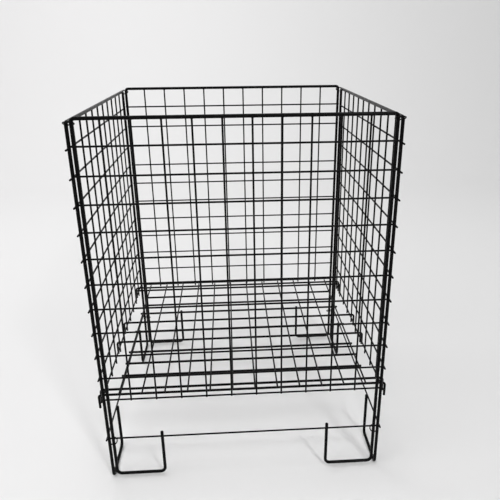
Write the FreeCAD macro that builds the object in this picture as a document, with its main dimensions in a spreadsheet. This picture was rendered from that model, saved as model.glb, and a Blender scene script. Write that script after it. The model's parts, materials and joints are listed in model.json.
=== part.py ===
"""Folding wire dump bin in millimetres, +Z up, front towards -Y.

Four identical welded mesh panels stand in a square and are linked at the corners by
open wire rings. A wire base grid hangs on the lowest mesh wires of the two side panels.
"""

import math
import os

import FreeCAD
import Part
import Sketcher

OUT = "parts"

# Driving sizes: name, value, meaning.
SIZES = (
    ("frame_wire", 6.5, "diameter of the rail, leg and foot wire"),
    ("mesh_wire", 3.5, "diameter of the mesh and lower cross wires"),
    ("weld_sink", 0.3, "depth two welded wires sink into each other"),
    ("mesh_pitch", 50.0, "centre distance of mesh wires, both ways"),
    ("edge_cell", 46.0, "leg centre to the nearest vertical mesh wire"),
    ("top_cell", 45.0, "rail centre to the highest mesh row"),
    ("vertical_count", 10, "vertical mesh wires in a panel"),
    ("mesh_row_count", 11, "horizontal mesh wires in a panel"),
    ("vertical_tail", 4.5, "vertical wire below the centre of the lowest mesh wire"),
    ("wire_overhang", 0.8, "horizontal wire past the outside of the leg"),
    ("lower_gap", 94.0, "lower cross wire to the lowest mesh wire"),
    ("foot_drop", 95.0, "foot run to the lower cross wire"),
    ("foot_width", 100.0, "leg to the inner leg of its foot"),
    ("foot_top", 7.0, "inner foot leg above the lower cross wire"),
    ("corner_bend", 6.0, "centre-line radius where the rail turns into a leg"),
    ("foot_bend", 10.0, "centre-line radius of the foot bends"),
    ("leg_gap", 1.9, "clear gap between two neighbouring corner legs"),
    ("ring_wire", 2.4, "diameter of the corner ring wire"),
    ("ring_clearance", 0.2, "upper ring to leg on either side"),
    ("ring_bite", 0.1, "upper ring pinched on to the side panel leg"),
    ("ring_mouth", 1.6, "open gap between the two ends of an upper ring"),
    ("ring_lean", 25.0, "angle an upper ring leans inwards over the rail bend"),
    ("ring_drop", 1.6, "upper ring centre below the side panel rail"),
    ("ring_hang", 1.7, "start of the front or back rail bend above the upper ring centre"),
    ("eye_radius", 7.3, "centre-line radius of a lower ring"),
    ("eye_droop", 45.0, "angle a lower ring droops outwards"),
    ("eye_drop", 4.0, "lower ring centre below the side panel cross wire"),
    ("rod_wire", 5.0, "diameter of the base rods"),
    ("long_wire", 3.5, "diameter of the base long wires"),
    ("base_seat", 0.3, "clearance of the hooked rods above the wire they hang on"),
    ("hook_gap", 4.0, "hook to the outside of the side mesh"),
    ("hook_length", 30.0, "rod centre to the hook tip"),
    ("hook_bend", 6.0, "centre-line radius of a hook bend"),
    ("end_setback", 15.0, "leg line to the outermost hook rod"),
    ("pair_pitch", 18.0, "between the two hook rods at an end"),
    ("end_bay", 48.0, "hook rod pair to the next rod"),
    ("side_setback", 22.6, "side panel plane to the end of a plain rod"),
    ("rod_overhang", 6.0, "plain rod past the outermost long wire"),
    ("long_overhang", 6.0, "long wire past the outermost rod"),
    ("long_count", 12, "long wires in the base"),
)

# Sizes that follow from the driving ones.
DERIVED = (
    ("half_panel", "(vertical_count - 1) / 2 * mesh_pitch + edge_cell"),
    ("mesh_span", "(vertical_count - 1) * mesh_pitch"),
    ("row_span", "(mesh_row_count - 1) * mesh_pitch"),
    ("foot_centre", "frame_wire / 2"),
    ("lower_level", "foot_centre + foot_drop"),
    ("mesh_level", "lower_level + lower_gap"),
    ("rail_level", "mesh_level + row_span + top_cell"),
    ("inner_leg_top", "lower_level + foot_top"),
    ("inner_leg_place", "half_panel - foot_width"),
    ("row_offset", "(frame_wire + mesh_wire) / 2 - weld_sink"),
    ("vertical_offset", "row_offset - mesh_wire + weld_sink"),
    ("vertical_bottom", "mesh_level - vertical_tail"),
    ("vertical_length", "rail_level - mesh_wire / 2 - vertical_bottom"),
    ("row_half_length", "half_panel + frame_wire / 2 + wire_overhang"),
    ("leg_spacing", "frame_wire + leg_gap"),
    ("side_plane", "half_panel + leg_spacing"),
    ("corner_place", "half_panel + leg_spacing / 2"),
    ("ring_radius", "leg_spacing / 2 + (frame_wire + ring_wire) / 2 + ring_clearance"),
    ("ring_place", "corner_place - ring_bite"),
    ("ring_level", "rail_level - ring_drop"),
    ("panel_lift", "corner_bend + ring_hang - ring_drop"),
    ("eye_level", "lower_level - eye_drop"),
    ("eye_hold", "(frame_wire + ring_wire) / 2 - weld_sink"),
    ("eye_depth", "eye_radius * cos(eye_droop * 1 deg)"),
    ("eye_room", "leg_spacing ^ 2 + eye_depth ^ 2 - eye_hold ^ 2"),
    ("eye_slope", "leg_spacing ^ 2 - sin(eye_droop * 1 deg) ^ 2 * eye_room"),
    ("eye_mouth", "eye_room / (leg_spacing + sqrt(eye_slope))"),
    ("rod_level", "mesh_level + (mesh_wire + rod_wire) / 2 + base_seat"),
    ("long_rise", "(rod_wire + long_wire) / 2 - weld_sink"),
    ("hook_place", "side_plane + row_offset + (mesh_wire + rod_wire) / 2 + hook_gap"),
    ("outer_rod", "half_panel - end_setback"),
    ("second_rod", "outer_rod - pair_pitch"),
    ("rod_pitch", "(second_rod - end_bay) / 4"),
    ("rod_half_length", "side_plane - side_setback"),
    ("long_half_span", "rod_half_length - rod_overhang"),
    ("long_half_length", "outer_rod + long_overhang"),
)

# Panel name and its place along X, Y and Z. Each panel is a quarter turn on from the one
# before. The front and back panels hang on the upper rings, which lie on the side panels.
PANELS = (
    ("front", "0 mm", "-Sizes.half_panel * 1 mm", "Sizes.panel_lift * 1 mm"),
    ("right", "Sizes.side_plane * 1 mm", "0 mm", "0 mm"),
    ("back", "0 mm", "Sizes.half_panel * 1 mm", "Sizes.panel_lift * 1 mm"),
    ("left", "-Sizes.side_plane * 1 mm", "0 mm", "0 mm"),
)

# Corner name, sign along X, sign along Y.
CORNERS = (
    ("front_left", -1, -1),
    ("front_right", 1, -1),
    ("back_right", 1, 1),
    ("back_left", -1, 1),
)

# Hook rod name and place along Y.
HOOK_RODS = (
    ("base_hook_rod_1", "-Sizes.outer_rod"),
    ("base_hook_rod_2", "-Sizes.second_rod"),
    ("base_hook_rod_3", "-Sizes.rod_pitch"),
    ("base_hook_rod_4", "Sizes.rod_pitch"),
    ("base_hook_rod_5", "Sizes.second_rod"),
    ("base_hook_rod_6", "Sizes.outer_rod"),
)

# Plain rods, counted in rod pitches from the middle of the base.
PLAIN_ROD_STEPS = (-4, -3, -2, 0, 2, 3, 4)

# Sketcher's numbers for the points of a line, arc or circle, and for the origin.
START, END, MIDDLE = range(1, 4)
ORIGIN = (-1, START)


def make_sheet(doc):
    """Write every size into the spreadsheet under its own alias."""
    sheet = doc.addObject("Spreadsheet::Sheet", "Sizes")
    rows = [(name, str(value), note) for name, value, note in SIZES]
    rows += [(name, "=" + formula, "follows") for name, formula in DERIVED]
    for row, (name, content, note) in enumerate(rows, 1):
        sheet.set(f"A{row}", name)
        sheet.set(f"B{row}", content)
        sheet.set(f"C{row}", note)
        sheet.setAlias(f"B{row}", name)
    doc.recompute()
    return sheet


def size(sheet, name):
    """Value of one size as a plain number."""
    return float(sheet.get(name))


def new_body(doc, label):
    body = doc.addObject("PartDesign::Body", label)
    body.Label = label
    body.AllowCompound = True
    return body


def origin_feature(body, role):
    matches = [item for item in body.Origin.OriginFeatures if item.Role == role]
    return matches[0]


def new_sketch(body, role, name, offset=None):
    """Sketch on one of the body's own planes, moved along its normal by an expression."""
    sketch = body.newObject("Sketcher::SketchObject", name)
    sketch.AttachmentSupport = (origin_feature(body, role), [""])
    sketch.MapMode = "FlatFace"
    if offset:
        sketch.setExpression("AttachmentOffset.Base.z", f"({offset}) * 1 mm")
    return sketch


def bind(sketch, kind, first, second, name, expression, guess):
    """Add a named dimension from first to second and drive it from the sheet."""
    index = sketch.addConstraint(Sketcher.Constraint(kind, *first, *second, guess))
    sketch.renameConstraint(index, name)
    sketch.setExpression(f"Constraints.{name}", expression)


def bind_radius(sketch, geometry, name, expression, guess):
    index = sketch.addConstraint(Sketcher.Constraint("Radius", geometry, guess))
    sketch.renameConstraint(index, name)
    sketch.setExpression(f"Constraints.{name}", expression)


def bind_place(sketch, point, axis, name, expression, value):
    """Hold one coordinate of a point; a zero coordinate is held on the axis itself."""
    kind = "DistanceX" if axis == 0 else "DistanceY"
    if value < 0:
        bind(sketch, kind, point, ORIGIN, name, f"-({expression})", -value)
    else:
        bind(sketch, kind, ORIGIN, point, name, expression, value)


def circle_sketch(sheet, body, role, name, across, up, diameter, offset=None):
    """Round wire section; across and up are (expression, value) pairs."""
    sketch = new_sketch(body, role, name, offset)
    centre = FreeCAD.Vector(across[1], up[1], 0)
    normal = FreeCAD.Vector(0, 0, 1)
    circle = sketch.addGeometry(Part.Circle(centre, normal, size(sheet, diameter) / 2))
    bind_radius(sketch, circle, "wire", f"Sizes.{diameter} / 2", size(sheet, diameter) / 2)
    for axis, (label, (expression, value)) in enumerate((("across", across), ("up", up))):
        if expression is None:
            target = -2 if axis == 0 else -1
            sketch.addConstraint(
                Sketcher.Constraint("PointOnObject", circle, MIDDLE, target)
            )
        else:
            bind_place(sketch, (circle, MIDDLE), axis, label, expression, value)
    return sketch


def unit(vector):
    length = math.hypot(*vector)
    return (vector[0] / length, vector[1] / length)


def rounded_path(corners, radii):
    """Lines and arcs through the corner points, each inner corner rounded by its radius."""
    pieces = []
    start = corners[0]
    for previous, corner, following, radius in zip(corners, corners[1:], corners[2:], radii):
        inward = unit((corner[0] - previous[0], corner[1] - previous[1]))
        outward = unit((following[0] - corner[0], following[1] - corner[1]))
        stop = (corner[0] - inward[0] * radius, corner[1] - inward[1] * radius)
        resume = (corner[0] + outward[0] * radius, corner[1] + outward[1] * radius)
        centre = (stop[0] + outward[0] * radius, stop[1] + outward[1] * radius)
        pieces.append(("line", start, stop))
        pieces.append(("arc", stop, resume, centre, radius))
        start = resume
    pieces.append(("line", start, corners[-1]))
    return pieces


def add_line(sketch, start, stop):
    line = Part.LineSegment(FreeCAD.Vector(*start, 0), FreeCAD.Vector(*stop, 0))
    return sketch.addGeometry(line)


def add_arc(sketch, start, stop, centre, radius):
    """Arc from start to stop; returns its index and which ends meet start and stop."""
    first = math.atan2(start[1] - centre[1], start[0] - centre[0])
    last = math.atan2(stop[1] - centre[1], stop[0] - centre[0])
    turn = (last - first) % (2 * math.pi)
    anticlockwise = turn < math.pi + 1e-6
    if not anticlockwise:
        first, last = last, first
    circle = Part.Circle(FreeCAD.Vector(*centre, 0), FreeCAD.Vector(0, 0, 1), radius)
    index = sketch.addGeometry(Part.ArcOfCircle(circle, first, last))
    ends = (START, END) if anticlockwise else (END, START)
    return index, ends


def path_sketch(body, role, name, corners, radii, offset=None):
    """Wire centre line with square-on lines and tangent arcs.

    A corner is ((expression, value), (expression, value)); a radius is the same pair.
    Each line is level or upright, so the place of every line fixes one coordinate.
    """
    sketch = new_sketch(body, role, name, offset)
    points = [(across[1], up[1]) for across, up in corners]
    pieces = rounded_path(points, [radius[1] for radius in radii])
    lines = []
    previous = None
    arc_number = 0
    for piece in pieces:
        if piece[0] == "line":
            index = add_line(sketch, piece[1], piece[2])
            lines.append(index)
            ends = (START, END)
        else:
            index, ends = add_arc(sketch, *piece[1:])
            expression, value = radii[arc_number]
            bind_radius(sketch, index, f"bend_{arc_number}", expression, value)
            arc_number += 1
        if previous is not None:
            joint = Sketcher.Constraint("Tangent", previous[0], previous[1], index, ends[0])
            sketch.addConstraint(joint)
        previous = (index, ends[1])
    for number, line in enumerate(lines):
        fix_line(sketch, line, number, corners[number], corners[number + 1])
    bind_place(sketch, (lines[0], START), *free_end(corners[0], corners[1], "first_end"))
    bind_place(sketch, (lines[-1], END), *free_end(corners[-1], corners[-2], "last_end"))
    return sketch


def fix_line(sketch, line, number, start, stop):
    """Keep a line level or upright and hold the coordinate it runs at."""
    upright = abs(start[0][1] - stop[0][1]) < abs(start[1][1] - stop[1][1])
    sketch.addConstraint(Sketcher.Constraint("Vertical" if upright else "Horizontal", line))
    axis = 0 if upright else 1
    bind_place(sketch, (line, START), axis, f"line_{number}", *start[axis])


def free_end(end, neighbour, name):
    """Coordinate along the line that a free end is held by."""
    upright = abs(end[0][1] - neighbour[0][1]) < abs(end[1][1] - neighbour[1][1])
    axis = 1 if upright else 0
    return (axis, name, *end[axis])


def add_pipe(body, name, path, section):
    pipe = body.newObject("PartDesign::AdditivePipe", name)
    pipe.Profile = section
    pipe.Spine = path
    body.Tip = pipe
    return pipe


def add_pad(body, name, section, length):
    pad = body.newObject("PartDesign::Pad", name)
    pad.Profile = section
    pad.setExpression("Length", f"({length}) * 1 mm")
    body.Tip = pad
    return pad


def add_row(body, name, feature, section, axis, span, count):
    """Repeat a feature along one axis of its section sketch."""
    row = body.newObject("PartDesign::LinearPattern", name)
    row.Originals = [feature]
    row.Direction = (section, [axis])
    row.setExpression("Length", f"{span} * 1 mm")
    row.setExpression("Occurrences", count)
    body.Tip = row
    return row


def place(body, across, along, level):
    """Bind the position of a body; the turn is already in its placement."""
    body.setExpression("Placement.Base.x", across)
    body.setExpression("Placement.Base.y", along)
    body.setExpression("Placement.Base.z", level)


def turn_body(body, *turns):
    """Turn a body by (axis, degrees) steps, the first step outermost."""
    rotation = FreeCAD.Rotation()
    for axis, angle in turns:
        rotation = rotation.multiply(FreeCAD.Rotation(axis, angle))
    body.Placement = FreeCAD.Placement(FreeCAD.Vector(), rotation)


def pair(sheet, name, sign=1):
    """Expression and value of one size, mirrored when sign is -1."""
    mark = "-" if sign < 0 else ""
    return (f"{mark}Sizes.{name}", sign * size(sheet, name))


def frame_body(doc, sheet, label):
    """Rail, two legs and two upturned feet bent from one wire."""
    body = new_body(doc, label)
    top = pair(sheet, "rail_level")
    floor = pair(sheet, "foot_centre")
    tip = pair(sheet, "inner_leg_top")
    corners = []
    for sign, levels in ((-1, (tip, floor, top)), (1, (top, floor, tip))):
        leg = pair(sheet, "half_panel", sign)
        inner = pair(sheet, "inner_leg_place", sign)
        left_side = [(inner, tip), (inner, floor), (leg, floor), (leg, top)]
        corners += left_side if sign < 0 else left_side[::-1]
    foot = pair(sheet, "foot_bend")
    rail = pair(sheet, "corner_bend")
    bends = [foot, foot, rail, rail, foot, foot]
    path = path_sketch(body, "XZ_Plane", label + "_path", corners, bends)
    section = circle_sketch(
        sheet,
        body,
        "XY_Plane",
        label + "_section",
        pair(sheet, "inner_leg_place", -1),
        (None, 0),
        "frame_wire",
        "Sizes.inner_leg_top",
    )
    add_pipe(body, label + "_pipe", path, section)
    return body


def vertical_wires_body(doc, sheet, label):
    """Upright mesh wires, inside the rows and butted up under the rail."""
    body = new_body(doc, label)
    start = ("-Sizes.mesh_span / 2", -size(sheet, "mesh_span") / 2)
    section = circle_sketch(
        sheet,
        body,
        "XY_Plane",
        label + "_section",
        start,
        pair(sheet, "vertical_offset", -1),
        "mesh_wire",
        "Sizes.vertical_bottom",
    )
    wire = add_pad(body, label + "_wire", section, "Sizes.vertical_length")
    count = "Sizes.vertical_count"
    add_row(body, label + "_row", wire, section, "H_Axis", "Sizes.mesh_span", count)
    return body


def level_wire(sheet, body, label, level):
    """One level wire across the outer face of both legs."""
    section = circle_sketch(
        sheet,
        body,
        "YZ_Plane",
        label + "_section",
        pair(sheet, "row_offset", -1),
        pair(sheet, level),
        "mesh_wire",
        "-Sizes.row_half_length",
    )
    return section, add_pad(body, label + "_wire", section, "Sizes.row_half_length * 2")


def mesh_rows_body(doc, sheet, label):
    """Level mesh wires, welded on the outer face of the legs and upright wires."""
    body = new_body(doc, label)
    section, wire = level_wire(sheet, body, label, "mesh_level")
    count = "Sizes.mesh_row_count"
    add_row(body, label + "_row", wire, section, "V_Axis", "Sizes.row_span", count)
    return body


def lower_wire_body(doc, sheet, label):
    """Single cross wire that ties the legs and the inner foot legs together."""
    body = new_body(doc, label)
    level_wire(sheet, body, label, "lower_level")
    return body


PANEL_PIECES = (
    ("frame", frame_body),
    ("vertical_wires", vertical_wires_body),
    ("mesh_rows", mesh_rows_body),
    ("lower_wire", lower_wire_body),
)


def build_panels(doc, sheet):
    up = FreeCAD.Vector(0, 0, 1)
    bodies = []
    for quarter, (name, across, along, level) in enumerate(PANELS):
        for piece, make in PANEL_PIECES:
            body = make(doc, sheet, f"{name}_{piece}")
            turn_body(body, (up, math.degrees(quarter * math.pi / 2)))
            place(body, across, along, level)
            bodies.append(body)
    return bodies


def ring_path(body, sheet, label):
    """Open circle round two neighbouring legs, its mouth on the +Y side."""
    radius = size(sheet, "ring_radius")
    mouth = size(sheet, "ring_mouth")
    sketch = new_sketch(body, "XY_Plane", label + "_path")
    first = math.pi / 2
    ring = add_open_circle(sketch, radius, first, first - math.asin(mouth / radius))
    sketch.addConstraint(Sketcher.Constraint("PointOnObject", ring, START, -2))
    bind_radius(sketch, ring, "bend", "Sizes.ring_radius", radius)
    bind_place(sketch, (ring, END), 0, "mouth", "Sizes.ring_mouth", mouth)
    return sketch


def eye_path(body, sheet, label, outwards):
    """Open circle round one leg; both ends reach the next leg, along X at outwards."""
    radius = size(sheet, "eye_radius")
    opening = math.acos(size(sheet, "eye_mouth") / radius)
    middle = 0 if outwards > 0 else math.pi
    sketch = new_sketch(body, "XY_Plane", label + "_path")
    ring = add_open_circle(sketch, radius, middle + opening, middle - opening)
    bind_radius(sketch, ring, "bend", "Sizes.eye_radius", radius)
    mouth = pair(sheet, "eye_mouth", outwards)
    bind_place(sketch, (ring, START), 0, "first_end", *mouth)
    bind_place(sketch, (ring, END), 0, "last_end", *mouth)
    return sketch


def add_open_circle(sketch, radius, first, last):
    """Arc about the origin, anticlockwise from one angle round to the other."""
    circle = Part.Circle(FreeCAD.Vector(), FreeCAD.Vector(0, 0, 1), radius)
    ring = sketch.addGeometry(Part.ArcOfCircle(circle, first, last + 2 * math.pi))
    sketch.addConstraint(Sketcher.Constraint("Coincident", ring, MIDDLE, *ORIGIN))
    return ring


def thin_wire(body, sheet, label, path, radius):
    """Sweep thin wire along an open circle that crosses the +Y axis."""
    section = circle_sketch(
        sheet,
        body,
        "YZ_Plane",
        label + "_section",
        pair(sheet, radius),
        (None, 0),
        "ring_wire",
    )
    add_pipe(body, label + "_pipe", path, section)


def build_rings(doc, sheet):
    """An upper and a lower ring at each corner, both held by the side panel's leg.

    The upper one is pinched round both legs and leans over the rail bends, inner side
    down. The lower one is welded on the side panel's leg and droops round the other leg.
    """
    up = FreeCAD.Vector(0, 0, 1)
    across = FreeCAD.Vector(1, 0, 0)
    lean = -size(sheet, "ring_lean")
    droop = size(sheet, "eye_droop")
    bodies = []
    for corner, side, end in CORNERS:
        turn = (up, 0 if end < 0 else 180)
        along = f"{end} * Sizes.half_panel * 1 mm"
        label = f"ring_{corner}_top"
        ring = new_body(doc, label)
        thin_wire(ring, sheet, label, ring_path(ring, sheet, label), "ring_radius")
        turn_body(ring, turn, (across, lean))
        place(ring, f"{side} * Sizes.ring_place * 1 mm", along, "Sizes.ring_level * 1 mm")
        label = f"ring_{corner}_low"
        eye = new_body(doc, label)
        thin_wire(eye, sheet, label, eye_path(eye, sheet, label, -side * end), "eye_radius")
        turn_body(eye, turn, (across, droop))
        place(eye, f"{side} * Sizes.half_panel * 1 mm", along, "Sizes.eye_level * 1 mm")
        bodies += [ring, eye]
    return bodies


def hook_rod_body(doc, sheet, label):
    """Base rod with both ends turned down into hooks."""
    body = new_body(doc, label)
    tip = pair(sheet, "hook_length", -1)
    bend = pair(sheet, "hook_bend")
    left = pair(sheet, "hook_place", -1)
    right = pair(sheet, "hook_place")
    axis_level = ("0", 0.0)
    corners = [(left, tip), (left, axis_level), (right, axis_level), (right, tip)]
    path = path_sketch(body, "XZ_Plane", label + "_path", corners, [bend, bend])
    section = circle_sketch(
        sheet,
        body,
        "XY_Plane",
        label + "_section",
        left,
        (None, 0),
        "rod_wire",
        "-Sizes.hook_length",
    )
    add_pipe(body, label + "_pipe", path, section)
    return body


def plain_rod_body(doc, sheet, label):
    """Straight base rod that ends short of the side panels."""
    body = new_body(doc, label)
    section = circle_sketch(
        sheet,
        body,
        "YZ_Plane",
        label + "_section",
        (None, 0),
        (None, 0),
        "rod_wire",
        "-Sizes.rod_half_length",
    )
    add_pad(body, label + "_rod", section, "Sizes.rod_half_length * 2")
    return body


def long_wires_body(doc, sheet, label):
    """Thin wires laid front to back on top of the rods."""
    body = new_body(doc, label)
    section = circle_sketch(
        sheet,
        body,
        "XZ_Plane",
        label + "_section",
        pair(sheet, "long_half_span", -1),
        pair(sheet, "long_rise"),
        "long_wire",
        "-Sizes.long_half_length",
    )
    wire = add_pad(body, label + "_wire", section, "Sizes.long_half_length * 2")
    span = "Sizes.long_half_span * 2"
    add_row(body, label + "_row", wire, section, "H_Axis", span, "Sizes.long_count")
    return body


def build_base(doc, sheet):
    level = "Sizes.rod_level * 1 mm"
    bodies = []
    for label, along in HOOK_RODS:
        body = hook_rod_body(doc, sheet, label)
        place(body, "0 mm", f"{along} * 1 mm", level)
        bodies.append(body)
    for number, step in enumerate(PLAIN_ROD_STEPS, 1):
        body = plain_rod_body(doc, sheet, f"base_plain_rod_{number}")
        place(body, "0 mm", f"{step} * Sizes.rod_pitch * 1 mm", level)
        bodies.append(body)
    body = long_wires_body(doc, sheet, "base_long_wires")
    place(body, "0 mm", "0 mm", level)
    bodies.append(body)
    return bodies


def check_document(doc, bodies):
    """Stop before anything is written if a feature failed or a shape is broken."""
    for item in doc.Objects:
        broken = [state for state in item.State if state in ("Invalid", "Error")]
        if broken:
            raise RuntimeError(f"{item.Label}: {broken}")
    for body in bodies:
        if body.Shape.isNull() or not body.Shape.isValid():
            raise RuntimeError(f"{body.Label}: bad shape")


def main():
    os.makedirs(OUT, exist_ok=True)
    doc = FreeCAD.newDocument("dump_bin")
    sheet = make_sheet(doc)
    bodies = build_panels(doc, sheet) + build_rings(doc, sheet) + build_base(doc, sheet)
    doc.recompute()
    check_document(doc, bodies)
    for body in bodies:
        body.Shape.exportStep(os.path.join(OUT, body.Label + ".step"))


main()
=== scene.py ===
"""Looks of the folding wire dump bin: powder coat, welds, cut ends, studio and camera.

Lengths are in metres and angles are written in degrees.
"""

import json
import math
from dataclasses import dataclass

import bmesh
import bpy
from mathutils import Matrix, Vector


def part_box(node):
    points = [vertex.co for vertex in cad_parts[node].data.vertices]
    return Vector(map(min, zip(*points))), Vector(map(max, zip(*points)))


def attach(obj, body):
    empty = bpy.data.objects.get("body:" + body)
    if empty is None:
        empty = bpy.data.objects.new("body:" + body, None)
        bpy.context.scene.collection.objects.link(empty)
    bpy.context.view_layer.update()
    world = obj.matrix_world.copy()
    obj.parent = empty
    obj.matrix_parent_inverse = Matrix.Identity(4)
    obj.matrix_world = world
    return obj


MM = 0.001

# Sizes of the wires and grids, as the bin is built.
FRAME_RADIUS = 3.25 * MM
MESH_RADIUS = 1.75 * MM
ROD_RADIUS = 2.5 * MM
RING_WIRE_RADIUS = 1.2 * MM
WELD_SINK = 0.3 * MM  # depth two welded wires sink into each other
MESH_PITCH = 50.0 * MM
UPRIGHT_COUNT = 10
ROW_COUNT = 11
LONG_COUNT = 12
FOOT_WIDTH = 100.0 * MM  # leg to the inner leg of its foot
FOOT_TOP = 7.0 * MM  # tip of the inner foot leg above the lower cross wire
RING_MOUTH = 1.6 * MM  # open gap between the two ends of an upper ring
RING_LEAN = -25.0  # tilt of the upper rings, which are lower on the inside of the bin
EYE_DROOP = 45.0  # tilt of the lower rings, which are lower on the outside

# Offsets from the plane of a panel's frame wire to the wires welded on to it.
ROW_OFFSET = FRAME_RADIUS + MESH_RADIUS - WELD_SINK
UPRIGHT_OFFSET = ROW_OFFSET - 2 * MESH_RADIUS + WELD_SINK

# Each panel is a quarter turn on from the one before.
PANEL_BODIES = (
    ("front", "front_panel"),
    ("right", "right_side"),
    ("back", "back_panel"),
    ("left", "left_side"),
)

# Weld between two crossed wires.
WELD_REACH = 0.92  # share of the thinner wire's radius
WELD_WAIST = 0.8  # share of the reach, halfway between the wires
WELD_WAVES = ((0.05, 3, 1.0), (0.03, 5, 0.0))  # share of the reach, waves round it, phase
WELD_SIDES = 24

# Collar where an upright mesh wire ends under the rail.
COLLAR_RADIUS = 1.45 * MESH_RADIUS
COLLAR_DEPTH = 1.2 * MM
COLLAR_CORE = 0.6  # share of the collar that goes on into the rail
COLLAR_LIMIT = 0.95 * FRAME_RADIUS  # furthest off the rail's axis that it follows the rail
COLLAR_SIDES = 20

# Cut end of a wire.
END_EDGE = 0.28  # width of the rounded edge as a share of the wire's radius
END_STEPS = 4
END_SIDES = 16

# Noise scales, in spots to the metre.
THIN_SPOT_SCALE = 35.0
GLOSS_SCALE = 140.0
FIBRE_SCALE = 300.0
DUST_SCALE = 420.0
PEEL_SCALE = 1400.0

# Powder coat of the wires.
COAT_BLACK = (0.0012, 0.0012, 0.0014)
COAT_THIN_BLACK = (0.0028, 0.0028, 0.003)
# Grey of dust specks on upward faces, which also paints a highlight on the tops of the wires.
COAT_DUST_AND_SHEEN = (0.04, 0.0395, 0.038)
MOST_DUST_AND_SHEEN = 0.55
GLOSSIER = 0.05  # how far the roughness goes below its own value
DULLER = 0.08  # and above it
PEEL_HEIGHT = 0.12 * MM
COAT_REFLECTION = 0.07

# Roughness and strength of the orange peel of each slot.
COATS = {
    "frame_coat": (0.26, 0.30),
    "mesh_coat": (0.30, 0.35),
    "base_coat": (0.32, 0.35),
    "ring_coat": (0.22, 0.20),
}

# Paper that the bin stands on, which sweeps up into a wall.
# Paper colour at the left and the right; the change between them is painted light, brighter and
# warmer on the left.
PAPER_LEFT = (0.79, 0.785, 0.787)
PAPER_RIGHT = (0.75, 0.75, 0.75)
PAPER_FAR = (1.0, 1.0, 1.0)
PAPER_FIBRE = (0.6, 0.6, 0.6)
MOST_FIBRE = 0.03
PAPER_ROUGHNESS = 0.9
PAPER_REFLECTION = 0.1
LIGHT_FALLOFF_REACH = 2.0  # middle to where the left or right colour of the painted light is reached
FADE_CENTRE = (0.0, 1.5, 0.0)
FADE_START = 3.2  # distance at which the paper starts to turn white
FADE_END = 7.0
SWEEP_HALF_WIDTH = 20.0
SWEEP_FRONT = -20.0
SWEEP_BEND = 2.0  # where the floor starts to bend
SWEEP_RADIUS = 1.5
SWEEP_TOP = 12.0
SWEEP_STEPS = 24

# Strength of the white light all round.
ROOM_LIGHT = 0.59

# Camera: its place and turns, and its lens in pixels of the photo's square frame.
FRAME_PIXELS = 500
CAMERA_PLACE = (-0.0155, -1.2128, 0.8668)
CAMERA_DOWN = 21.89
CAMERA_ROLL = 0.44
CAMERA_RIGHT = 3.60
FOCAL_PIXELS = 556.5
LENS_CENTRE = (264.8, 258.7)
SENSOR_MM = 36.0


def middle(low, high):
    return (low + high) / 2


def spread(low, high, count):
    """Evenly spaced places from low to high."""
    return [low + (high - low) * number / (count - 1) for number in range(count)]


def circle_angles(count):
    return [2 * math.pi * number / count for number in range(count)]


def circle(radius, count):
    """Evenly spaced points round a circle."""
    return [(radius * math.cos(angle), radius * math.sin(angle)) for angle in circle_angles(count)]


class Material:
    """A new material and short ways to add and link its shader nodes."""

    def __init__(self, name):
        self.data = bpy.data.materials.new(name)
        self.data.use_nodes = True
        self.tree = self.data.node_tree
        self.shader = self.tree.nodes["Principled BSDF"]

    def add(self, kind, **settings):
        node = self.tree.nodes.new(kind)
        for key, value in settings.items():
            setattr(node, key, value)
        return node

    def link(self, source, target):
        self.tree.links.new(source, target)

    def feed(self, name, source):
        """Link an output to one of the shader's own inputs."""
        self.link(source, self.shader.inputs[name])

    def fix(self, **values):
        """Give inputs of the shader a value that is the same all over."""
        for name, value in values.items():
            self.shader.inputs[name.replace("_", " ")].default_value = value

    def object_place(self):
        return self.add("ShaderNodeTexCoord").outputs["Object"]

    def noise(self, place, scale, detail, roughness=0.55):
        node = self.add("ShaderNodeTexNoise")
        node.inputs["Scale"].default_value = scale
        node.inputs["Detail"].default_value = detail
        node.inputs["Roughness"].default_value = roughness
        self.link(place, node.inputs["Vector"])
        return node.outputs["Fac"]

    def remap(self, source, low, high, to_low=0.0, to_high=1.0):
        node = self.add("ShaderNodeMapRange")
        limits = (("From Min", low), ("From Max", high), ("To Min", to_low), ("To Max", to_high))
        for socket, value in limits:
            node.inputs[socket].default_value = value
        self.link(source, node.inputs["Value"])
        return node.outputs["Result"]

    def multiply(self, first, second):
        node = self.add("ShaderNodeMath", operation="MULTIPLY")
        self.link(first, node.inputs[0])
        self.link(second, node.inputs[1])
        return node.outputs["Value"]

    def mix(self, factor, first, second):
        """Blend two colours; each is a linked output or a red, green, blue triple."""
        node = self.add("ShaderNodeMix", data_type="RGBA")
        self.link(factor, node.inputs["Factor"])
        colours = [socket for socket in node.inputs if socket.type == "RGBA"]
        for socket, value in zip(colours, (first, second)):
            if isinstance(value, tuple):
                socket.default_value = (*value, 1.0)
            else:
                self.link(value, socket)
        return next(socket for socket in node.outputs if socket.type == "RGBA")

    def distance(self, source, point):
        node = self.add("ShaderNodeVectorMath", operation="DISTANCE")
        self.link(source, node.inputs[0])
        node.inputs[1].default_value = point
        return node.outputs["Value"]

    def axis(self, source, letter):
        node = self.add("ShaderNodeSeparateXYZ")
        self.link(source, node.inputs[0])
        return node.outputs[letter]

    def bump(self, height, strength, distance):
        node = self.add("ShaderNodeBump")
        node.inputs["Strength"].default_value = strength
        node.inputs["Distance"].default_value = distance
        self.link(height, node.inputs["Height"])
        return node.outputs["Normal"]


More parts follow.
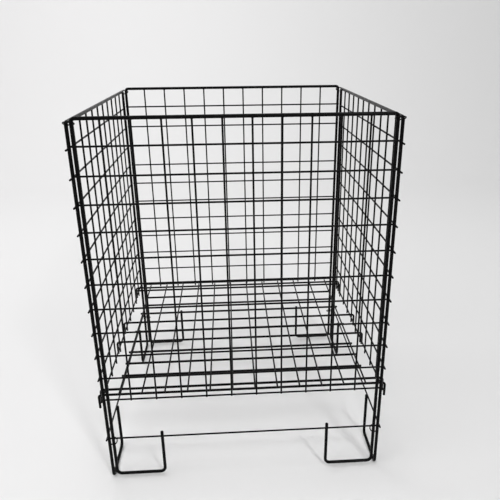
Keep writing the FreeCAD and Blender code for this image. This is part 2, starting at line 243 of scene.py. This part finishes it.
def coat_material(name, roughness, peel):
    """Black powder coat: orange peel, uneven gloss, grey dust specks on what faces up that also
    paint a highlight there.
    """
    coat = Material(name)
    place = coat.object_place()

    thin_spots = coat.remap(coat.noise(place, THIN_SPOT_SCALE, detail=3.0), low=0.4, high=0.7)
    black = coat.mix(thin_spots, COAT_BLACK, COAT_THIN_BLACK)
    normal = coat.add("ShaderNodeNewGeometry").outputs["Normal"]
    # Grey on what faces up: dust specks and a painted highlight on the tops of the wires.
    facing_up = coat.remap(coat.axis(normal, "Z"), low=0.5, high=1.0)
    specks = coat.noise(place, DUST_SCALE, detail=6.0, roughness=0.7)
    dust_and_sheen = coat.remap(specks, low=0.5, high=0.8, to_high=MOST_DUST_AND_SHEEN)
    coat.feed("Base Color", coat.mix(coat.multiply(facing_up, dust_and_sheen), black, COAT_DUST_AND_SHEEN))

    spots = coat.noise(place, GLOSS_SCALE, detail=4.0)
    least, most = roughness - GLOSSIER, roughness + DULLER
    coat.feed("Roughness", coat.remap(spots, low=0.3, high=0.7, to_low=least, to_high=most))
    dimples = coat.noise(place, PEEL_SCALE, detail=2.0)
    coat.feed("Normal", coat.bump(dimples, strength=peel, distance=PEEL_HEIGHT))
    coat.fix(Specular_IOR_Level=COAT_REFLECTION)
    return coat.data


def paper_material():
    """Pale paper, with painted light that makes it a little brighter and warmer on the left, white
    far from the bin.

    White paper is as bright as the room's light, so its edges don't show from any side.
    """
    paper = Material("pale_paper")
    place = paper.object_place()
    # Painted light: the colour goes from brighter and warmer on the left to darker on the right.
    across = paper.remap(paper.axis(place, "X"), low=-LIGHT_FALLOFF_REACH, high=LIGHT_FALLOFF_REACH)
    painted_falloff = paper.mix(across, PAPER_LEFT, PAPER_RIGHT)
    threads = paper.noise(place, FIBRE_SCALE, detail=5.0)
    fibres = paper.remap(threads, low=0.3, high=0.7, to_high=MOST_FIBRE)
    near = paper.mix(fibres, painted_falloff, PAPER_FIBRE)
    far = paper.remap(paper.distance(place, FADE_CENTRE), low=FADE_START, high=FADE_END)
    paper.feed("Base Color", paper.mix(far, near, PAPER_FAR))
    paper.fix(Roughness=PAPER_ROUGHNESS, Specular_IOR_Level=PAPER_REFLECTION)
    return paper.data


def add_object(name, builder, material):
    """Turn a finished mesh builder into a smooth object of the scene."""
    mesh = bpy.data.meshes.new(name)
    bmesh.ops.recalc_face_normals(builder, faces=builder.faces)
    builder.to_mesh(mesh)
    builder.free()
    mesh.materials.append(material)
    for polygon in mesh.polygons:
        polygon.use_smooth = True
    made = bpy.data.objects.new(name, mesh)
    bpy.context.scene.collection.objects.link(made)
    return made


def add_skin(builder, matrix, loops):
    """Skin a stack of equal point loops and close both of its ends."""
    skins = [[builder.verts.new(matrix @ Vector(point)) for point in loop] for loop in loops]
    for lower, upper in zip(skins, skins[1:]):
        for index in range(len(lower)):
            after = (index + 1) % len(lower)
            builder.faces.new((lower[index], lower[after], upper[after], upper[index]))
    builder.faces.new(skins[0][::-1])
    builder.faces.new(skins[-1])


def add_weld(builder, matrix, under_radius, over_radius):
    """Metal squeezed out between two crossed wires, a saddle with a hollow edge.

    Local Z points from the wire underneath, which runs along X, to the one along Y.
    """
    reach = WELD_REACH * min(under_radius, over_radius)
    foot, waist, head = [], [], []
    for angle in circle_angles(WELD_SIDES):
        waves = (share * math.sin(count * angle + phase) for share, count, phase in WELD_WAVES)
        uneven = 1 + sum(waves)
        across, along = reach * uneven * math.cos(angle), reach * uneven * math.sin(angle)
        under = math.sqrt(under_radius**2 - along**2) - under_radius + WELD_SINK / 2
        over = over_radius - math.sqrt(over_radius**2 - across**2) - WELD_SINK / 2
        foot.append((across, along, under - WELD_SINK / 2))
        waist.append((across * WELD_WAIST, along * WELD_WAIST, middle(under, over)))
        head.append((across, along, over + WELD_SINK / 2))
    add_skin(builder, matrix, (foot, waist, head))


def rail_face(along):
    """Level of the rail's underside, from its axis, at a place beside an upright."""
    off_axis = min(abs(along - UPRIGHT_OFFSET), COLLAR_LIMIT)
    return -math.sqrt(FRAME_RADIUS**2 - off_axis**2)


def add_collar(builder, matrix):
    """Weld where an upright mesh wire ends against the underside of the rail."""
    foot = [(x, y, rail_face(y) - COLLAR_DEPTH) for x, y in circle(MESH_RADIUS, COLLAR_SIDES)]
    rim = [(x, y, rail_face(y)) for x, y in circle(COLLAR_RADIUS, COLLAR_SIDES)]
    core = [(COLLAR_CORE * x, COLLAR_CORE * y, level + WELD_SINK) for x, y, level in rim]
    add_skin(builder, matrix, (foot, rim, core))


def add_cut_end(builder, place, facing, radius):
    """Cut wire end with a small rounded edge under the coat."""
    edge = END_EDGE * radius
    turn = Vector(facing).to_track_quat("Z", "Y").to_matrix().to_4x4()
    loops = [[(x, y, -WELD_SINK) for x, y in circle(radius, END_SIDES)]]
    for angle in spread(0.0, math.pi / 2, END_STEPS + 1):
        reach = radius - edge * (1 - math.cos(angle))
        height = edge * math.sin(angle)
        loops.append([(x, y, height) for x, y in circle(reach, END_SIDES)])
    add_skin(builder, Matrix.Translation(place) @ turn, loops)


@dataclass
class Panel:
    """Places in one panel's own axes: X across, -Y outwards, Z up from its feet."""

    name: str
    to_bin: Matrix
    rail: float  # level of the top rail
    rows: list  # levels of the mesh rows
    lower: float  # level of the lower cross wire
    tail: float  # level of the lower ends of the uprights
    leg: float  # place of a leg, to either side
    row_end: float  # place of the end of a row, to either side
    uprights: list  # places of the uprights


def measure_panel(name, quarter):
    """Take a panel's places from the boxes of its wires."""
    frame_low, frame_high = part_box(f"{name}_frame")
    rows_low, rows_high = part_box(f"{name}_mesh_rows")
    floor = frame_low.z
    centre = middle(frame_low, frame_high)
    turn = Matrix.Rotation(quarter * math.pi / 2, 4, "Z")
    frame_size, row_size = frame_high - frame_low, rows_high - rows_low
    upright = MESH_PITCH * (UPRIGHT_COUNT - 1) / 2
    lowest, highest = rows_low.z + MESH_RADIUS, rows_high.z - MESH_RADIUS
    return Panel(
        name=name,
        to_bin=Matrix.Translation((centre.x, centre.y, floor)) @ turn,
        rail=frame_high.z - FRAME_RADIUS - floor,
        rows=[level - floor for level in spread(lowest, highest, ROW_COUNT)],
        lower=middle(*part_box(f"{name}_lower_wire")).z - floor,
        tail=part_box(f"{name}_vertical_wires")[0].z - floor,
        leg=max(frame_size.x, frame_size.y) / 2 - FRAME_RADIUS,
        row_end=max(row_size.x, row_size.y) / 2,
        uprights=spread(-upright, upright, UPRIGHT_COUNT),
    )


def panel_welds(panel, material):
    """Every weld of a panel: rows on uprights, rows on legs, uprights under the rail."""
    builder = bmesh.new()
    outwards = Matrix.Rotation(math.pi / 2, 4, "X")
    along_upright = outwards @ Matrix.Rotation(math.pi / 2, 4, "Z")
    row_contact = -(ROW_OFFSET - MESH_RADIUS + WELD_SINK / 2)

    def crossing(across, level, under_radius):
        place = panel.to_bin @ Matrix.Translation((across, row_contact, level))
        add_weld(builder, place @ along_upright, under_radius, MESH_RADIUS)

    for across in panel.uprights:
        for level in panel.rows:
            crossing(across, level, MESH_RADIUS)
        under_rail = Matrix.Translation((across, -UPRIGHT_OFFSET, panel.rail))
        add_collar(builder, panel.to_bin @ under_rail)
    for side in (-1, 1):
        for level in (*panel.rows, panel.lower):
            crossing(side * panel.leg, level, FRAME_RADIUS)
        crossing(side * (panel.leg - FOOT_WIDTH), panel.lower, FRAME_RADIUS)
    return add_object(f"{panel.name}_welds", builder, material)


def panel_ends(panel, material):
    """Cut ends of the rows, the lower wire, the feet and the uprights."""
    builder = bmesh.new()
    turn = panel.to_bin.to_3x3()
    for side in (-1, 1):
        outwards = turn @ Vector((side, 0, 0))
        for level in (*panel.rows, panel.lower):
            place = panel.to_bin @ Vector((side * panel.row_end, -ROW_OFFSET, level))
            add_cut_end(builder, place, outwards, MESH_RADIUS)
        foot_tip = Vector((side * (panel.leg - FOOT_WIDTH), 0, panel.lower + FOOT_TOP))
        add_cut_end(builder, panel.to_bin @ foot_tip, (0, 0, 1), FRAME_RADIUS)
    for across in panel.uprights:
        place = panel.to_bin @ Vector((across, -UPRIGHT_OFFSET, panel.tail))
        add_cut_end(builder, place, (0, 0, -1), MESH_RADIUS)
    return add_object(f"{panel.name}_wire_ends", builder, material)


def ring_axes(name, centre, tilt):
    """Turn and place a corner ring's own axes, +Y of which points into the bin."""
    turn = Matrix.Rotation(math.pi if "back" in name else 0, 4, "Z")
    return Matrix.Translation(centre) @ turn @ Matrix.Rotation(math.radians(tilt), 4, "X")


def upper_ring_ends(name):
    """Places and directions of the two ends of an upper ring, either side of its mouth."""
    low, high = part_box(name)
    radius = (high.x - low.x) / 2 - RING_WIRE_RADIUS
    ring = ring_axes(name, middle(low, high), RING_LEAN)
    mouth = math.asin(RING_MOUTH / radius)
    for angle, facing in ((0, 1), (mouth, -1)):
        place = Vector((radius * math.sin(angle), radius * math.cos(angle), 0))
        towards = Vector((facing * math.cos(angle), -facing * math.sin(angle), 0))
        yield ring @ place, ring.to_3x3() @ towards


def lower_ring_ends(name):
    """Places and directions of the two ends by which a lower ring is welded on.

    Both lie `mouth` away from the ring's centre on its local X, where its wire comes within
    `hold` of the leg's axis: sin(droop)**2 * mouth**2 - 2 * spacing * mouth + room = 0.
    """
    low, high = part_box(name)
    droop = math.radians(EYE_DROOP)
    radius = ((high.z - low.z) / 2 - RING_WIRE_RADIUS) / math.sin(droop)
    side = -1 if "left" in name else 1
    inner = low.x if side > 0 else high.x
    centre = middle(low, high)
    centre.x = inner + side * (radius + RING_WIRE_RADIUS)
    ring = ring_axes(name, centre, EYE_DROOP)
    outwards = -side if "back" in name else side
    spacing = abs(middle(*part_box(name.split("_")[2] + "_frame")).x) - abs(centre.x)
    hold = FRAME_RADIUS + RING_WIRE_RADIUS - WELD_SINK
    room = spacing**2 + (radius * math.cos(droop)) ** 2 - hold**2
    mouth = room / (spacing + math.sqrt(spacing**2 - math.sin(droop) ** 2 * room))
    opening = math.acos(mouth / radius)
    for turn in (-1, 1):
        place = Vector((outwards * mouth, turn * radius * math.sin(opening), 0))
        towards = Vector((outwards * math.sin(opening), -turn * math.cos(opening), 0))
        yield ring @ place, ring.to_3x3() @ towards


def ring_ends(names, side, material):
    """Cut ends of the corner rings on one side of the bin."""
    builder = bmesh.new()
    for name in names:
        ends = upper_ring_ends(name) if name.endswith("top") else lower_ring_ends(name)
        for place, towards in ends:
            add_cut_end(builder, place, towards, RING_WIRE_RADIUS)
    return add_object(f"{side}_ring_ends", builder, material)


def long_wire_places():
    low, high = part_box("base_long_wires")
    return spread(low.x + MESH_RADIUS, high.x - MESH_RADIUS, LONG_COUNT)


def base_welds(rod_boxes, material):
    """Welds where the long wires lie across the rods."""
    builder = bmesh.new()
    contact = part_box("base_long_wires")[0].z + WELD_SINK / 2
    for low, high in rod_boxes.values():
        for across in long_wire_places():
            place = Matrix.Translation((across, middle(low, high).y, contact))
            add_weld(builder, place, ROD_RADIUS, MESH_RADIUS)
    return add_object("base_welds", builder, material)


def base_ends(rod_boxes, material):
    """Cut ends of the long wires, the plain rods and the hooks."""
    builder = bmesh.new()
    low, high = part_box("base_long_wires")
    for across in long_wire_places():
        for along, facing in ((low.y, -1), (high.y, 1)):
            place = Vector((across, along, middle(low, high).z))
            add_cut_end(builder, place, (0, facing, 0), MESH_RADIUS)
    for name, (low, high) in rod_boxes.items():
        centre = middle(low, high)
        for edge, facing in ((low.x, -1), (high.x, 1)):
            if "hook" in name:
                tip = Vector((edge - facing * ROD_RADIUS, centre.y, low.z))
                add_cut_end(builder, tip, (0, 0, -1), ROD_RADIUS)
            else:
                tip = Vector((edge, centre.y, centre.z))
                add_cut_end(builder, tip, (facing, 0, 0), ROD_RADIUS)
    return add_object("base_wire_ends", builder, material)


def dress_wires(frame, coats):
    """Give every built wire the coat of its slot."""
    for part in frame["record"]["subparts"]:
        mesh = frame["nodes"][part["node"]].data
        mesh.materials.clear()
        mesh.materials.append(coats[part["material_slot"]])
        for polygon in mesh.polygons:
            polygon.use_smooth = True


def join(piece, body):
    """Let an added piece move with a body."""
    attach(piece, body)


def add_details(frame, coats):
    """Add the welds and cut ends of the panels, the corner rings and the base."""
    names = list(frame["nodes"])
    for quarter, (name, body) in enumerate(PANEL_BODIES):
        panel = measure_panel(name, quarter)
        join(panel_welds(panel, coats["mesh_coat"]), body)
        join(panel_ends(panel, coats["mesh_coat"]), body)
    for side, body in (("left", "left_side"), ("right", "right_side")):
        rings = [name for name in names if name.startswith("ring") and f"_{side}_" in name]
        join(ring_ends(rings, side, coats["ring_coat"]), body)
    rod_boxes = {name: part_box(name) for name in names if "_rod_" in name}
    join(base_welds(rod_boxes, coats["base_coat"]), "base_grid")
    join(base_ends(rod_boxes, coats["base_coat"]), "base_grid")


def add_backdrop():
    """Paper floor that sweeps up into a wall behind the bin."""
    profile = [(SWEEP_FRONT, 0.0)]
    for angle in spread(0.0, math.pi / 2, SWEEP_STEPS + 1):
        along = SWEEP_BEND + SWEEP_RADIUS * math.sin(angle)
        profile.append((along, SWEEP_RADIUS * (1 - math.cos(angle))))
    profile.append((SWEEP_BEND + SWEEP_RADIUS, SWEEP_TOP))
    builder = bmesh.new()
    sides = []
    for across in (-SWEEP_HALF_WIDTH, SWEEP_HALF_WIDTH):
        sides.append([builder.verts.new((across, along, level)) for along, level in profile])
    left, right = sides
    for index in range(len(profile) - 1):
        builder.faces.new((left[index], right[index], right[index + 1], left[index + 1]))
    add_object("backdrop", builder, paper_material())


def add_lamp(name, place, target, width, power, beam=180.0):
    """Square lamp with its power in watts and the angle of its beam."""
    data = bpy.data.lights.new(name, "AREA")
    data.shape = "SQUARE"
    data.size = width
    data.energy = power
    data.spread = math.radians(beam)
    lamp = bpy.data.objects.new(name, data)
    lamp.location = place
    lamp.rotation_euler = (Vector(target) - Vector(place)).to_track_quat("-Z", "Y").to_euler()
    bpy.context.scene.collection.objects.link(lamp)


def light_studio():
    """Even pale room, a broad key from the left and a small lamp high on the front right.

    Two more lamps lighten the paper: one on the wall, one straight down into the bin.
    """
    world = bpy.data.worlds.new("studio")
    world.use_nodes = True
    background = world.node_tree.nodes["Background"]
    background.inputs["Color"].default_value = (1.0, 1.0, 1.0, 1.0)
    background.inputs["Strength"].default_value = ROOM_LIGHT
    bpy.context.scene.world = world
    add_lamp("key", (-1.7, -0.7, 2.6), (0.0, 0.1, 0.1), width=2.2, power=28.0)
    add_lamp("front_lamp", (1.4, -3.2, 3.5), (0.0, 0.0, 0.2), width=0.45, power=56.0)
    add_lamp("wall_lamp", (-1.0, 1.2, 3.2), (-0.3, 3.4, 1.0), width=1.6, power=35.0)
    add_lamp("floor_lamp", (0.0, -0.1, 2.6), (0.0, -0.1, 0.0), width=0.5, power=0.32, beam=30.0)


def add_camera():
    """Stand where the bin is seen from the front and a little above."""
    data = bpy.data.cameras.new("camera")
    data.sensor_fit = "HORIZONTAL"
    data.sensor_width = SENSOR_MM
    data.lens = SENSOR_MM * FOCAL_PIXELS / FRAME_PIXELS
    data.shift_x = 0.5 - LENS_CENTRE[0] / FRAME_PIXELS
    data.shift_y = LENS_CENTRE[1] / FRAME_PIXELS - 0.5
    camera = bpy.data.objects.new("camera", data)
    right = Matrix.Rotation(-math.radians(CAMERA_RIGHT), 4, "Z")
    down = Matrix.Rotation(-math.radians(CAMERA_DOWN), 4, "X")
    roll = Matrix.Rotation(math.radians(CAMERA_ROLL), 4, "Y")
    level = Matrix.Rotation(math.pi / 2, 4, "X")
    camera.matrix_world = Matrix.Translation(CAMERA_PLACE) @ right @ down @ roll @ level
    bpy.context.scene.collection.objects.link(camera)
    bpy.context.scene.camera = camera


def build_scene(frame):
    """Coat the bin's wires, add the fine details and set up the studio."""
    coats = {slot: coat_material(slot, *finish) for slot, finish in COATS.items()}
    dress_wires(frame, coats)
    add_details(frame, coats)
    add_backdrop()
    light_studio()
    add_camera()
    bpy.context.scene.view_settings.view_transform = "Standard"


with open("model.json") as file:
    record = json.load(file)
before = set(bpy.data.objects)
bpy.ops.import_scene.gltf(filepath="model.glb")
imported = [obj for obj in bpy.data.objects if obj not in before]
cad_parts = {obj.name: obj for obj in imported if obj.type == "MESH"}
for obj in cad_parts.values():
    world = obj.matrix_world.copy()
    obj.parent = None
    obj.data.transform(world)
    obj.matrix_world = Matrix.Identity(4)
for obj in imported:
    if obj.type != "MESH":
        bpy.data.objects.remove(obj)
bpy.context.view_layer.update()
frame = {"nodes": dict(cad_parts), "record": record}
build_scene(frame)
